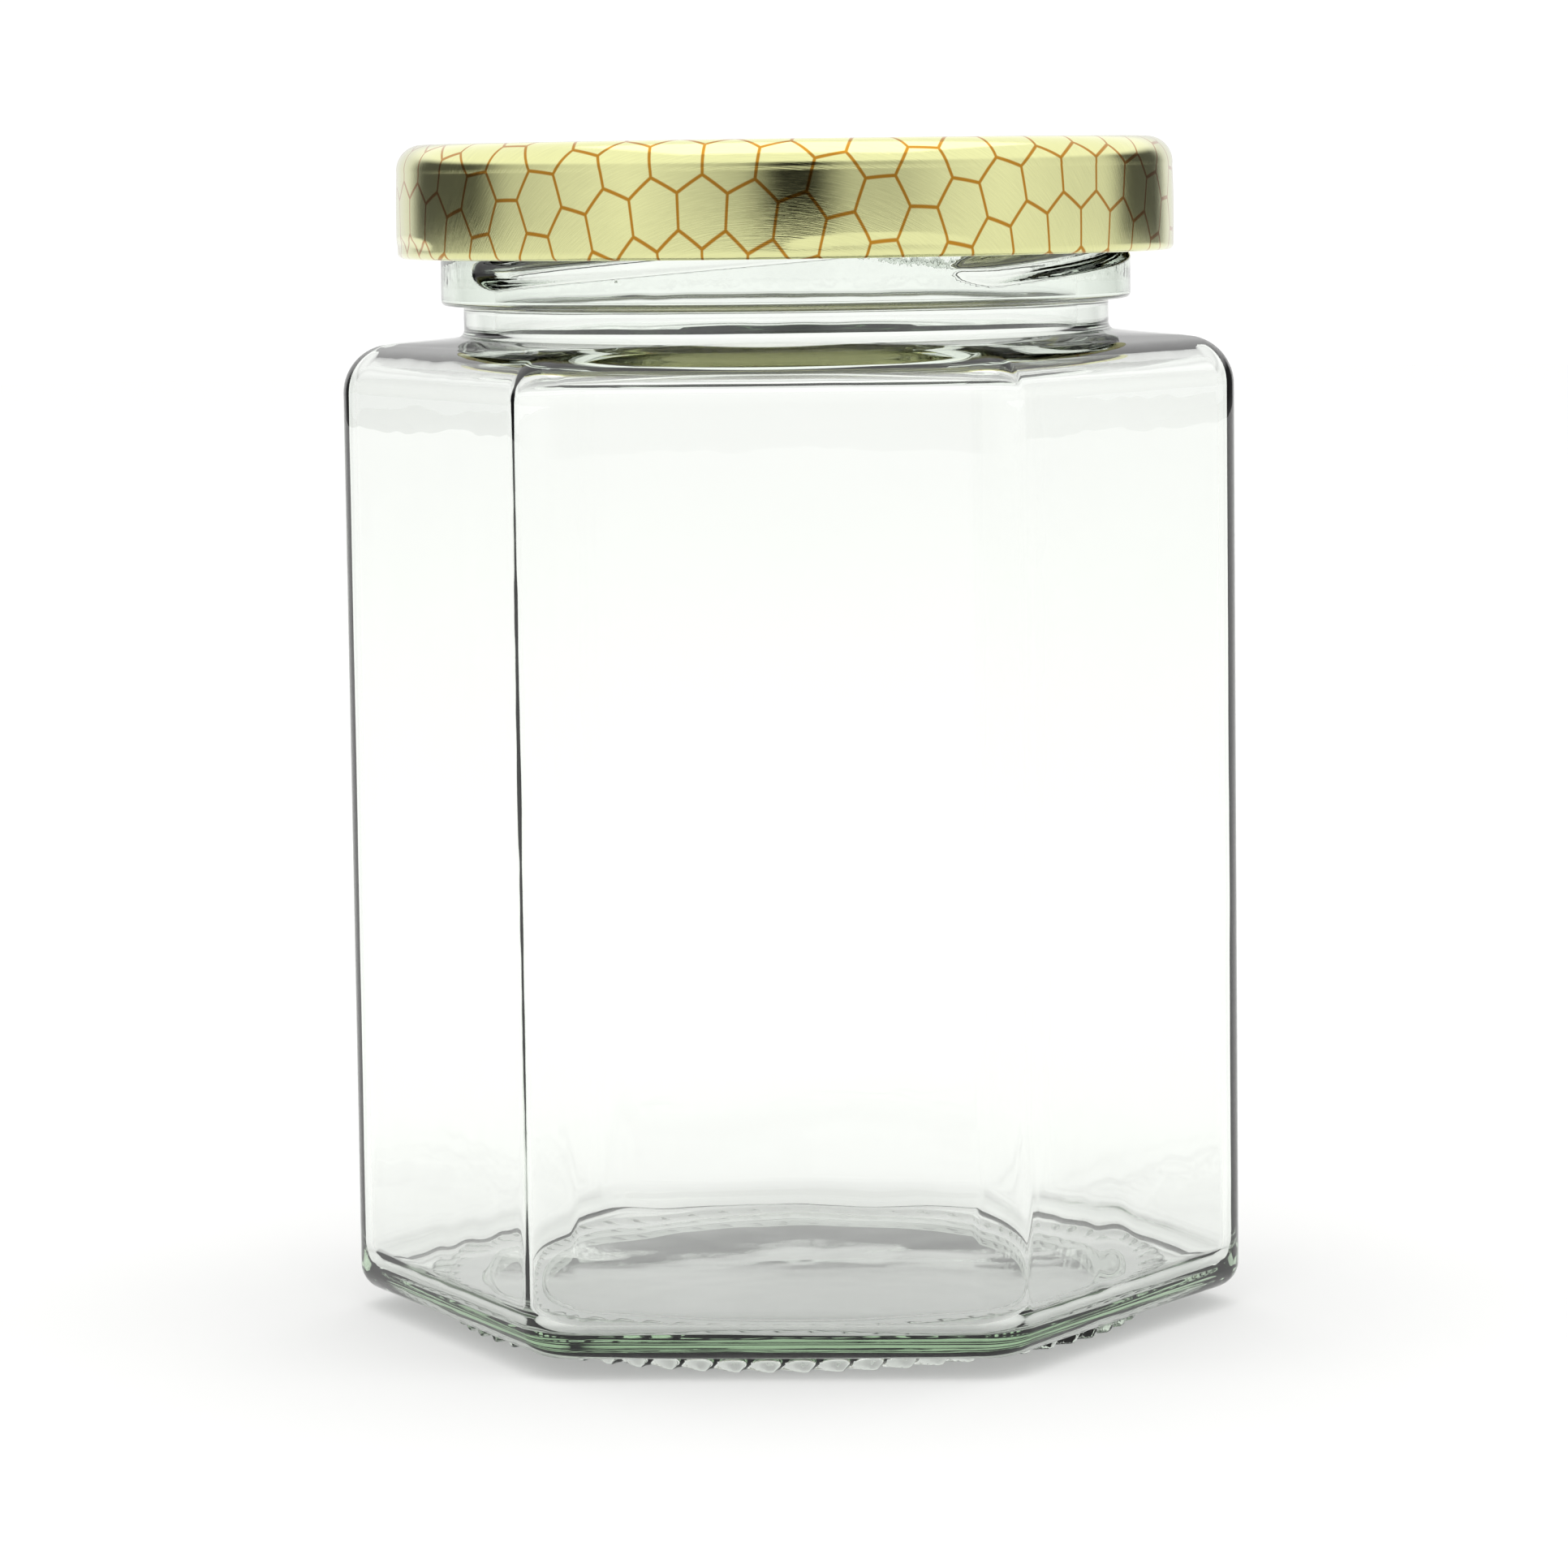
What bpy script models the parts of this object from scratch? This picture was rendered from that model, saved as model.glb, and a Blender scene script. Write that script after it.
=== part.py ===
"""A hexagonal glass preserving jar, empty, with its gold twist-off lid on.

The axis of the jar is Z, the surface it stands on is Z = 0, and one flat side faces -Y.
"""

import math

import bmesh
import bpy
from mathutils import Vector

MM = 0.001

# Body of the jar
ACROSS_FLATS = 67.5 * MM
CORNER_RADIUS = 5.0 * MM
WALL_TOP = 79.5 * MM
SHOULDER_ROUNDING = 4.2 * MM
SHOULDER_THICKNESS = 2.6 * MM
HEEL_ROUNDING = 2.2 * MM
INNER_SHOULDER_ROUNDING = 3.0 * MM
INNER_HEEL_ROUNDING = 2.2 * MM
WALL = 2.2 * MM
FLOOR_THICKNESS = 2.2 * MM
FLOOR_CROWN = 0.5 * MM

# Foot of the jar: a plain flat ring with a row of slanted lobes round it
BASE_PLANE = 1.2 * MM
FOOT_OUTER_RADIUS = 27.7 * MM
FOOT_WIDTH = 1.2 * MM
FOOT_DRAFT = 0.4 * MM
PUSH_UP = 1.9 * MM
LOBE_COUNT = 66
LOBE_REACH = 29.9 * MM
LOBE_WIDTH = 1.1 * MM
LOBE_SLANT = 2.2

# Neck and thread
NECK_BASE_HEIGHT = 84.26 * MM
NECK_FILLET = 0.7 * MM
NECK_RADIUS = 27.55 * MM
BORE_RADIUS = 24.9 * MM
BAND_RADIUS = 29.44 * MM
BAND_BOTTOM = 87.0 * MM
BAND_TOP = 94.0 * MM
FINISH_RADIUS = 27.5 * MM
GLASS_HEIGHT = 99.9 * MM
LIP_ROUNDING = 1.2 * MM
GROOVE_COUNT = 4
GROOVE_START = 33.2
GROOVE_SWEEP = 120.0
GROOVE_RADIUS = 27.7 * MM
GROOVE_HEIGHT = 2.1 * MM
GROOVE_TIP_TOP = 90.45 * MM
GROOVE_RISE = 0.0407 * MM
GROOVE_TIP_SWEEP = 7.0

# Lid
LID_RADIUS = 33.15 * MM
LID_BOTTOM = 91.03 * MM
LID_TOP = 100.66 * MM
LID_SHEET = 0.4 * MM
LID_SHOULDER = 2.2 * MM
LID_PANEL_RADIUS = 24.6 * MM
LID_PANEL_DROP = 0.5 * MM
CURL_WIDTH = 1.8 * MM
CURL_HEIGHT = 1.6 * MM
LUG_START = 16.0
LUG_SWEEP = 12.0
LUG_INNER_RADIUS = 28.4 * MM
LUG_BOTTOM = 91.87 * MM
LUG_THICKNESS = 1.0 * MM

# How finely the solids are faceted
SIDES = 6
ARC_STEPS = 5
FLAT_STEPS = 7
COLUMNS = SIDES * (ARC_STEPS + FLAT_STEPS)
LID_COLUMNS = 72
FRONT = -90.0
OVERLAP = 0.5 * MM


def clear_scene():
    for old in list(bpy.data.objects):
        bpy.data.objects.remove(old, do_unlink=True)


def polar(radius, degrees, height=0.0):
    turn = math.radians(degrees)
    return Vector((radius * math.cos(turn), radius * math.sin(turn), height))


def hexagon(apothem, corner_radius, height):
    """The outline of a rounded hexagon, with flat sides facing +Y and -Y."""
    points = []
    centre_distance = (apothem - corner_radius) / math.cos(math.radians(30))
    for side in range(SIDES):
        centre = polar(centre_distance, 60 * side, height)
        following = polar(centre_distance, 60 * (side + 1), height)
        for step in range(ARC_STEPS):
            points.append(centre + polar(corner_radius, 60 * side - 30 + 60 * step / ARC_STEPS))
        outward = polar(corner_radius, 60 * side + 30)
        for step in range(FLAT_STEPS):
            points.append(centre.lerp(following, step / FLAT_STEPS) + outward)
    return points


def circle(radius, height):
    """A circle whose points lie on the same columns as those of a hexagon."""
    first = -0.5 * ARC_STEPS
    return [polar(radius, (first + index) * 360 / COLUMNS, height) for index in range(COLUMNS)]


def arc(radius, centre_size, centre_height, start, end, steps):
    """Points of an upright arc as pairs of size and height, with 0 degrees outward and 90 up."""
    turns = [math.radians(start + (end - start) * step / steps) for step in range(steps + 1)]
    return [(centre_size + radius * math.cos(turn), centre_height + radius * math.sin(turn)) for turn in turns]


def new_object(name, bm, material=None):
    bmesh.ops.remove_doubles(bm, verts=bm.verts, dist=0.000001)
    bmesh.ops.recalc_face_normals(bm, faces=bm.faces)
    mesh = bpy.data.meshes.new(name)
    bm.to_mesh(mesh)
    bm.free()
    mesh.shade_smooth()
    mesh.set_sharp_from_angle(angle=math.radians(30))
    made = bpy.data.objects.new(name, mesh)
    bpy.context.scene.collection.objects.link(made)
    if material:
        mesh.materials.append(material)
    return made


def new_material(name, color, roughness, metallic=0.0, transmission=0.0):
    material = bpy.data.materials.new(name)
    material.use_nodes = True
    shader = material.node_tree.nodes["Principled BSDF"]
    shader.inputs["Base Color"].default_value = (*color, 1)
    shader.inputs["Roughness"].default_value = roughness
    shader.inputs["Metallic"].default_value = metallic
    shader.inputs["Transmission Weight"].default_value = transmission
    return material


def helper(made):
    """Marks an object that only shapes others."""
    made.hide_render = True
    made.display_type = "WIRE"
    return made


def combine(target, other, operation):
    boolean = target.modifiers.new(other.name, "BOOLEAN")
    boolean.operation = operation
    boolean.object = other


def hull_of(bm, points):
    """Adds one closed convex body round the points."""
    corners = [bm.verts.new(point) for point in points]
    bmesh.ops.convex_hull(bm, input=corners)


def jar_outside():
    """The rings of the outer surface, from the middle of the foot up to the lip."""
    apothem = ACROSS_FLATS / 2

    def body(size, height):
        return hexagon(size, CORNER_RADIUS - (apothem - size), height)

    foot_inner = FOOT_OUTER_RADIUS - FOOT_WIDTH
    heel = arc(HEEL_ROUNDING, apothem - HEEL_ROUNDING, BASE_PLANE + HEEL_ROUNDING, -90, 0, 4)
    shoulder = arc(SHOULDER_ROUNDING, apothem - SHOULDER_ROUNDING, WALL_TOP, 0, 83, 5)
    neck = [
        *arc(NECK_FILLET, NECK_RADIUS + NECK_FILLET, NECK_BASE_HEIGHT + NECK_FILLET, 263, 180, 2),
        *arc(0.3 * MM, NECK_RADIUS + 0.3 * MM, BAND_BOTTOM - 0.3 * MM, 180, 90, 1),
        *arc(0.4 * MM, BAND_RADIUS - 0.4 * MM, BAND_BOTTOM + 0.4 * MM, -90, 0, 2),
        *arc(0.6 * MM, BAND_RADIUS - 0.6 * MM, BAND_TOP - 0.6 * MM, 0, 90, 2),
        (FINISH_RADIUS, BAND_TOP + 0.2 * MM),
        *arc(LIP_ROUNDING, FINISH_RADIUS - LIP_ROUNDING, GLASS_HEIGHT - LIP_ROUNDING, 0, 90, 3),
    ]
    return [
        circle(foot_inner / 2, PUSH_UP * 0.8),
        circle(foot_inner - FOOT_DRAFT, BASE_PLANE),
        circle(foot_inner, 0),
        circle(FOOT_OUTER_RADIUS, 0),
        circle(FOOT_OUTER_RADIUS + FOOT_DRAFT, BASE_PLANE),
        *[body(size, height) for size, height in heel + shoulder],
        *[circle(size, height) for size, height in neck],
    ]


def jar_inside():
    """The rings of the inner surface, from the lip down to the floor."""
    inner = ACROSS_FLATS / 2 - WALL
    inner_corner = CORNER_RADIUS - WALL / 2
    floor = BASE_PLANE + FLOOR_THICKNESS
    ceiling = NECK_BASE_HEIGHT - SHOULDER_THICKNESS

    def hollow(size, height):
        return hexagon(size, inner_corner - (inner - size), height)

    bore = [
        *arc(LIP_ROUNDING, BORE_RADIUS + LIP_ROUNDING, GLASS_HEIGHT - LIP_ROUNDING, 90, 180, 3),
        *arc(1.4 * MM, BORE_RADIUS + 1.4 * MM, ceiling + 1.4 * MM, 180, 263, 2),
    ]
    under = arc(INNER_SHOULDER_ROUNDING, inner - INNER_SHOULDER_ROUNDING, WALL_TOP - 0.5 * MM, 80, 0, 3)
    bottom = arc(INNER_HEEL_ROUNDING, inner - INNER_HEEL_ROUNDING, floor + INNER_HEEL_ROUNDING, 0, -90, 4)
    return [
        *[circle(size, height) for size, height in bore],
        *[hollow(size, height) for size, height in under + bottom],
        circle(inner / 2, floor + FLOOR_CROWN * 0.75),
    ]


def jar_body(glass):
    """The whole wall of glass: up the outside, over the lip and down the inside."""
    bm = bmesh.new()
    lowest = bm.verts.new((0, 0, PUSH_UP))
    previous = None
    for points in jar_outside() + jar_inside():
        ring = [bm.verts.new(point) for point in points]
        for index, vertex in enumerate(ring):
            before = ring[index - 1]
            if previous:
                bm.faces.new((previous[index - 1], previous[index], vertex, before))
            else:
                bm.faces.new((lowest, vertex, before))
        previous = ring
    middle = bm.verts.new((0, 0, BASE_PLANE + FLOOR_THICKNESS + FLOOR_CROWN))
    for index, vertex in enumerate(previous):
        bm.faces.new((previous[index - 1], vertex, middle))
    return new_object("glass_jar", bm, glass)


def groove_section(degrees, depth_radius):
    """The four corners of a thread groove, this many degrees on from its closed tip."""
    share = min(degrees / GROOVE_TIP_SWEEP, 1)
    height = GROOVE_HEIGHT * math.sqrt(max(1 - (1 - share) ** 2, 0.02))
    top = GROOVE_TIP_TOP + GROOVE_RISE * degrees
    outside = BAND_RADIUS + OVERLAP
    return [(depth_radius, top - height), (outside, top - height), (outside, top), (depth_radius, top)]


def thread_grooves():
    """Cutters for the slanted grooves that the lugs of the lid slide into."""
    bm = bmesh.new()
    tip_steps = [0, 0.7, 1.6, 3.0, 5.0, GROOVE_TIP_SWEEP]
    rest = [GROOVE_TIP_SWEEP + 5 * step for step in range(1, int((GROOVE_SWEEP - GROOVE_TIP_SWEEP) / 5))]
    stations = tip_steps + rest + [GROOVE_SWEEP]
    for groove in range(GROOVE_COUNT):
        start = FRONT + GROOVE_START + 360 / GROOVE_COUNT * groove
        previous = None
        for degrees in stations:
            corners = [
                bm.verts.new(polar(radius, start + degrees, height))
                for radius, height in groove_section(degrees, GROOVE_RADIUS)
            ]
            if previous:
                for a, b in ((0, 1), (1, 2), (2, 3), (3, 0)):
                    bm.faces.new((previous[a], previous[b], corners[b], corners[a]))
            else:
                bm.faces.new(corners)
            previous = corners
        bm.faces.new(reversed(previous))
    return helper(new_object("thread_grooves", bm))


def foot_lobes():
    """The slanted lobes that stand round the foot ring, and reach the ground with it."""
    bm = bmesh.new()
    inside = FOOT_OUTER_RADIUS - OVERLAP
    half = LOBE_WIDTH / 2
    for lobe in range(LOBE_COUNT):
        middle = 360 / LOBE_COUNT * lobe
        inner_end = polar(inside, middle)
        outer_end = polar(LOBE_REACH, middle + LOBE_SLANT)
        along = (outer_end - inner_end).normalized()
        across = Vector((-along.y, along.x, 0))
        points = []
        for end, reach in ((inner_end, 0), (outer_end, 0.5 * MM)):
            for side in (-1, 1):
                points.append(end + across * side * half)
                top = Vector((0, 0, BASE_PLANE + OVERLAP))
                points.append(end + across * side * half * 1.7 + along * reach + top)
        hull_of(bm, points)
    return helper(new_object("foot_lobes", bm))


def lid_shell(gold):
    """The pressed sheet of the lid: panel, shoulder, skirt and the curl at its lower edge."""
    inside = LID_RADIUS - LID_SHEET
    under = LID_TOP - LID_SHEET
    curl_inner = LID_RADIUS - CURL_WIDTH
    shoulder = [
        (
            LID_RADIUS - LID_SHOULDER * (1 - math.sin(math.radians(turn))),
            LID_TOP - LID_SHOULDER * (1 - math.cos(math.radians(turn))),
        )
        for turn in (0, 22.5, 45, 67.5, 90)
    ]
    inner_shoulder = [(radius - LID_SHEET, height - LID_SHEET) for radius, height in reversed(shoulder[1:])]
    profile = [
        (0, LID_TOP - LID_PANEL_DROP),
        (LID_PANEL_RADIUS, LID_TOP - LID_PANEL_DROP),
        (LID_PANEL_RADIUS + 0.8 * MM, LID_TOP),
        *shoulder,
        (LID_RADIUS, LID_BOTTOM + 0.7 * MM),
        (LID_RADIUS - 0.25 * MM, LID_BOTTOM + 0.2 * MM),
        (LID_RADIUS - 0.7 * MM, LID_BOTTOM),
        (curl_inner + 0.6 * MM, LID_BOTTOM),
        (curl_inner, LID_BOTTOM + 0.6 * MM),
        (curl_inner, LID_BOTTOM + CURL_HEIGHT - 0.4 * MM),
        (curl_inner + 0.4 * MM, LID_BOTTOM + CURL_HEIGHT),
        (inside, LID_BOTTOM + CURL_HEIGHT),
        *inner_shoulder,
        (LID_PANEL_RADIUS + 0.5 * MM, under),
        (LID_PANEL_RADIUS - 0.3 * MM, under - LID_PANEL_DROP),
        (0, under - LID_PANEL_DROP),
    ]
    bm = bmesh.new()
    verts = [bm.verts.new((radius, 0, height)) for radius, height in profile]
    edges = [bm.edges.new(pair) for pair in zip(verts, verts[1:])]
    bmesh.ops.spin(
        bm,
        geom=verts + edges,
        axis=(0, 0, 1),
        angle=math.radians(360),
        steps=LID_COLUMNS,
        use_merge=True,
    )
    return new_object("twist_lid", bm, gold)


def lid_lugs():
    """The four lugs bent inwards from the curl, each lying in a thread groove."""
    bm = bmesh.new()
    top = LUG_BOTTOM + LUG_THICKNESS
    for lug in range(GROOVE_COUNT):
        middle = FRONT + LUG_START + 360 / GROOVE_COUNT * lug
        points = []
        for height in (LUG_BOTTOM, top):
            for step in (-1, -0.5, 0, 0.5, 1):
                points.append(polar(LID_RADIUS - LID_SHEET / 2, middle + step * LUG_SWEEP * 0.6, height))
            for step in (-1, 0, 1):
                points.append(polar(LUG_INNER_RADIUS, middle + step * LUG_SWEEP * 0.4, height))
        hull_of(bm, points)
    return helper(new_object("lid_lugs", bm))


def main():
    clear_scene()
    glass = new_material("clear_glass", (0.93, 0.97, 0.94), 0.02, transmission=1.0)
    gold = new_material("gold_lacquer", (0.72, 0.66, 0.36), 0.28, metallic=1.0)
    jar = jar_body(glass)
    combine(jar, thread_grooves(), "DIFFERENCE")
    combine(jar, foot_lobes(), "UNION")
    lid = lid_shell(gold)
    combine(lid, lid_lugs(), "UNION")


main()
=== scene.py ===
"""The looks of a hexagonal glass jar with its gold twist-off lid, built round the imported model.

Lengths are in metres. The axis of the jar is Z, it stands on Z = 0, and one flat side faces -Y.
"""

import math

import bmesh
import bpy
from bpy.props import FloatProperty, FloatVectorProperty, PointerProperty
from bpy.types import Operator, Panel, PropertyGroup
from mathutils import Matrix, Vector, noise


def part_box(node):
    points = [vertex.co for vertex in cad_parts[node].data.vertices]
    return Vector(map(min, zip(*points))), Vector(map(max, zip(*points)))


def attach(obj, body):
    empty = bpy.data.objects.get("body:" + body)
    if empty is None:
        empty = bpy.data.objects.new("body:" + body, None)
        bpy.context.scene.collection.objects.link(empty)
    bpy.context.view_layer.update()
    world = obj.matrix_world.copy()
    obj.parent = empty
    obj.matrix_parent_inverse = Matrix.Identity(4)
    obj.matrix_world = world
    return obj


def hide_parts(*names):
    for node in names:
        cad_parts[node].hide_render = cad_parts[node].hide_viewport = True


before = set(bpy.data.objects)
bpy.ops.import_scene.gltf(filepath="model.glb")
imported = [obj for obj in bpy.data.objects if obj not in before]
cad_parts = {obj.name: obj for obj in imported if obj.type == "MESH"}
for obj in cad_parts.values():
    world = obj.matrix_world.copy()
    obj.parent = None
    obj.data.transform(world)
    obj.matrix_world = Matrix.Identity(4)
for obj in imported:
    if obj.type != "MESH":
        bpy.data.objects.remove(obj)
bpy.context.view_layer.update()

bl_info = {
    "name": "Hexagonal Glass Jar",
    "version": (1, 0, 0),
    "blender": (4, 5, 0),
    "location": "3D View > Sidebar > Glass Jar",
    "description": "Builds a six-sided glass jar, its printed twist-off lid and a pale studio",
    "category": "Object",
}

MM = 0.001
SIDES = 6
TEETH = 66
COLUMNS = SIDES * TEETH
PER_SIDE = COLUMNS // SIDES
CORNER_SHARE = 12
LID_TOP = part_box("twist_lid")[1].z
LID_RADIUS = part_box("twist_lid")[1].x
LID_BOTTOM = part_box("twist_lid")[0].z
GLASS_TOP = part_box("glass_jar")[1].z
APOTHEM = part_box("glass_jar")[1].y

# Heights and roundings of the glass that follow from its neck finish and its mould.
EDGE_ROUNDING = 0.5 * MM
SMALL_ROUNDING = 0.3 * MM
TOOTH_RUN_OUT = 1.0 * MM
NECK_ROUNDING = 0.7 * MM
BEAD_EDGE = 0.45 * MM
BEAD_TOP = 93.6 * MM
FINISH_BOTTOM = 94.3 * MM
LIP_ROUNDING = 1.2 * MM
MOUTH_ROUNDING = 1.8 * MM
SHOULDER_THICKNESS = 2.45 * MM
FLOOR_CURVE = 2.4 * MM
FLOOR_CROWN = 0.4 * MM
LEAST_CORNER = 0.3 * MM

# The thread's grooves, with turns in degrees.
GROOVES = 4
GROOVE_SPAN = 125
GROOVE_END, GROOVE_END_LENGTH = 7, 9
GROOVE_MIDDLE = 89.9 * MM
GROOVE_RISE = 0.0405 * MM
GROOVE_HALF_HEIGHT = 1.35 * MM

# The frosted band on the bead: where it fades in and out.
FROST_BOTTOM = (0.0884, 0.0894)
FROST_TOP = (0.0925, 0.0940)

# The lid's curl and the lugs pressed in above it.
CURL_REACH = 1.5 * MM
LUG_REACH = 2.2 * MM
LUG_TOP = 3.0 * MM
LUG_RISE = 0.6 * MM
LUG_DEPTH = 0.16 * MM
LUG_FADE = 0.3 * MM

# Slides the honeycomb so that its cells fall where they do on the front of the skirt.
PRINT_PLACE = (50.331, 50 * math.sqrt(3) + 0.4685, 0)

# How light the studio is at each turn in degrees, 0 behind the jar, 180 behind the camera.
UPRIGHTS = (
    (0, 0.85), (34, 0.85), (44, 0.08), (78, 0.08), (92, 0.62), (116, 0.85), (134, 1.0),
    (154, 0.74), (168, 0.55), (178, 0.0), (189, 0.0), (199, 0.58), (214, 0.60), (228, 0.84),
    (246, 1.0), (272, 0.85), (290, 0.80), (300, 0.08), (324, 0.08), (333, 0.85),
)

# Where the uprights, the overhead glow and the dim ceiling fade in, as the rise of a ray.
UPRIGHTS_FROM = (-0.07, -0.02)
OVERHEAD_FROM = (0.20, 0.36)
CEILING_FROM = (0.08, 0.24)
GLASS_LIFT = 0.12

# Colours of the studio: its walls, uprights, overhead glow, dim ceiling and white backdrop.
WALLS = (1.07, 1.07, 1.065, 1)
UPRIGHT = (0.01, 0.01, 0.01, 1)
OVERHEAD = (1.25, 1.25, 1.24, 1)
CEILING = (0.05, 0.05, 0.05, 1)
BACKDROP = (1.1, 1.1, 1.1, 1)


def length(name, default, description):
    return FloatProperty(
        name=name, description=description, default=default, unit="LENGTH", precision=5
    )


def angle(name, degrees, description):
    return FloatProperty(
        name=name, description=description, default=math.radians(degrees), subtype="ANGLE"
    )


def colour(name, default, description):
    return FloatVectorProperty(
        name=name, description=description, default=default, size=3, min=0, max=1, subtype="COLOR"
    )


class JarSizes(PropertyGroup):
    apothem: length("Half across flats", APOTHEM, "From the axis to the middle of a flat side")
    corner: length("Corner radius", 5.0 * MM, "Rounding of the six upright corners")
    wall: length("Wall", 1.8 * MM, "Thickness of the flat sides")
    inner_corner: length("Inner corner radius", 4.2 * MM, "Rounding of the upright corners inside")
    wall_top: length("Top of the sides", 79.5 * MM, "Height where the shoulder starts to curve in")
    shoulder: length("Shoulder rounding", 4.2 * MM, "Radius of the curve from side to shoulder")
    inner_shoulder: length("Inner shoulder rounding", 2.0 * MM, "Radius of the same curve inside")
    heel: length("Heel rounding", 2.2 * MM, "Radius of the curve from a side to the underside")
    base_plane: length("Underside", 1.55 * MM, "Height of the underside above the ground")
    floor: length("Inner floor", 3.4 * MM, "Height of the inner floor above the ground")
    push_up: length("Push-up", 0.7 * MM, "How far the middle of the underside is pushed up")
    foot: length("Foot radius", 26.6 * MM, "Inner radius of the ring that the jar stands on")
    tooth_root: length("Tooth root radius", 28.6 * MM, "Radius between two teeth of the foot")
    tooth_tip: length("Tooth tip radius", 30.0 * MM, "Radius at the tip of a tooth of the foot")
    tooth_lean: FloatProperty(
        name="Tooth lean", description="Turn of a tooth for each metre outward", default=18.0
    )
    neck_base: length("Neck base", 84.26 * MM, "Height where the neck leaves the shoulder")
    neck: length("Neck radius", 27.55 * MM, "Radius of the narrow part of the neck")
    band: length("Bead radius", 29.44 * MM, "Radius of the raised band that carries the thread")
    band_bottom: length("Bead underside", 87.0 * MM, "Height of the lower edge of the raised band")
    bore: length("Mouth radius", 24.9 * MM, "Radius of the opening")
    groove_depth: length("Thread depth", 1.1 * MM, "Depth of the slanted thread grooves")
    groove_start: angle("Thread start", 33.2, "Turn of a groove's closed end from the front")


class LidSizes(PropertyGroup):
    radius: length("Radius", LID_RADIUS, "Radius of the upright skirt")
    sheet: length("Sheet", 0.4 * MM, "Thickness of the sheet metal")
    shoulder: length("Edge rounding", 2.2 * MM, "Rounding between the skirt and the top")
    panel: length("Panel radius", 24.6 * MM, "Radius of the lowered panel on the top")
    panel_drop: length("Panel drop", 0.5 * MM, "How far the panel lies below the rim")
    barrel: length("Skirt fullness", 0.07 * MM, "How far the skirt stands out past its ends")
    curl: length("Curl height", 1.0 * MM, "Height of the rolled edge")
    lug_turn: angle("Lug turn", 17.2, "Turn of the first lug from the front")
    lug_sweep: angle("Lug sweep", 14.5, "Half the width of each pressed lug")
    cell: length("Honeycomb cell", 4.548 * MM, "Width of a printed cell across its flats")
    line: length("Honeycomb line", 0.26 * MM, "Width of the printed lines")
    print_turn: angle("Print turn", 9.505, "Turn of the printed honeycomb")


class Finishes(PropertyGroup):
    glass: colour("Glass", (1.0, 1.0, 1.0), "Colour of the glass surface")
    glass_depth: colour("Glass in depth", (0.69, 0.80, 0.67), "Colour of the glass in depth")
    gold: colour("Gold lacquer", (0.74, 0.745, 0.37), "Colour of the lid between the lines")
    amber: colour("Printed line", (0.42, 0.19, 0.01), "Colour of the printed honeycomb lines")
    # The inside colour is the gold darkened to about two fifths: painted shade for the inside of
    # the lid.
    inside: colour("Inside lacquer in painted shade", (0.30, 0.30, 0.15), "Colour of the lid's inside")
    floor: colour("Floor", (0.62, 0.62, 0.616), "Colour of the studio floor")


class StudioSettings(PropertyGroup):
    distance: length("Camera distance", 505 * MM, "Level distance from the camera to the axis")
    height: length("Camera height", 98 * MM, "Height of the camera above the floor")
    turn: angle("Camera turn", 3.2, "Turn of the camera round the jar from the front")
    yaw: angle("Camera yaw", 0.08, "Turn of the view off the axis")
    pitch: angle("Camera pitch", 5.94, "How far the camera looks down")
    roll: angle("Camera roll", -0.75, "How far the camera leans")
    lens: FloatProperty(name="Lens", description="Focal length in millimetres", default=135.1)
    floor_radius: length("Floor radius", 2.4, "Radius of the round studio floor")
    see_through: FloatProperty(
        name="Clear view", description="Share of the uprights kept out of the glass", default=0.88
    )
    ceiling: FloatProperty(
        name="Dim ceiling", description="Share of the ceiling kept out of the glass", default=0.3
    )
    light: FloatProperty(name="Sky", description="Strength of the light all round", default=1.0)


def polar(radius, turn, height=0.0):
    return Vector((radius * math.cos(turn), radius * math.sin(turn), height))


def smooth(value):
    share = min(max(value, 0.0), 1.0)
    return share * share * (3 - 2 * share)


def arc(radius, size, height, start, end, steps):
    """Pairs of size and height along an upright arc, with 0 degrees outward and 90 up."""
    turns = [math.radians(start + (end - start) * step / steps) for step in range(steps + 1)]
    return [(size + radius * math.cos(turn), height + radius * math.sin(turn)) for turn in turns]


def line(start, end, steps):
    """Pairs along a straight line, without its first point."""
    shares = [(step + 1) / steps for step in range(steps)]
    across, up = end[0] - start[0], end[1] - start[1]
    return [(start[0] + across * share, start[1] + up * share) for share in shares]


def lathe(bm, rows, columns, layers):
    """Spins a line of rows round the axis. Each row is size, height and a value for each layer."""
    stores = [bm.verts.layers.float.new(name) for name in layers]
    verts = []
    for size, height, *values in rows:
        vertex = bm.verts.new((size, 0, height))
        for store, value in zip(stores, values):
            vertex[store] = value
        verts.append(vertex)
    edges = [bm.edges.new(pair) for pair in zip(verts, verts[1:])]
    bmesh.ops.spin(
        bm,
        geom=verts + edges,
        cent=(0, 0, 0),
        axis=(0, 0, 1),
        angle=math.tau,
        steps=columns,
        use_merge=True,
    )
    bmesh.ops.remove_doubles(bm, verts=bm.verts, dist=1e-7)


def finish_piece(bm, name, node, material):
    """Turns the mesh into a piece that rides on the model and stands for one of its nodes."""
    bmesh.ops.recalc_face_normals(bm, faces=bm.faces)
    mesh = bpy.data.meshes.new(name)
    bm.to_mesh(mesh)
    bm.free()
    mesh.shade_smooth()
    mesh.set_sharp_from_angle(angle=math.radians(50))
    mesh.materials.append(material)
    piece = bpy.data.objects.new(name, mesh)
    bpy.context.scene.collection.objects.link(piece)
    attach(piece, "root")
    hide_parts(node)


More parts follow.
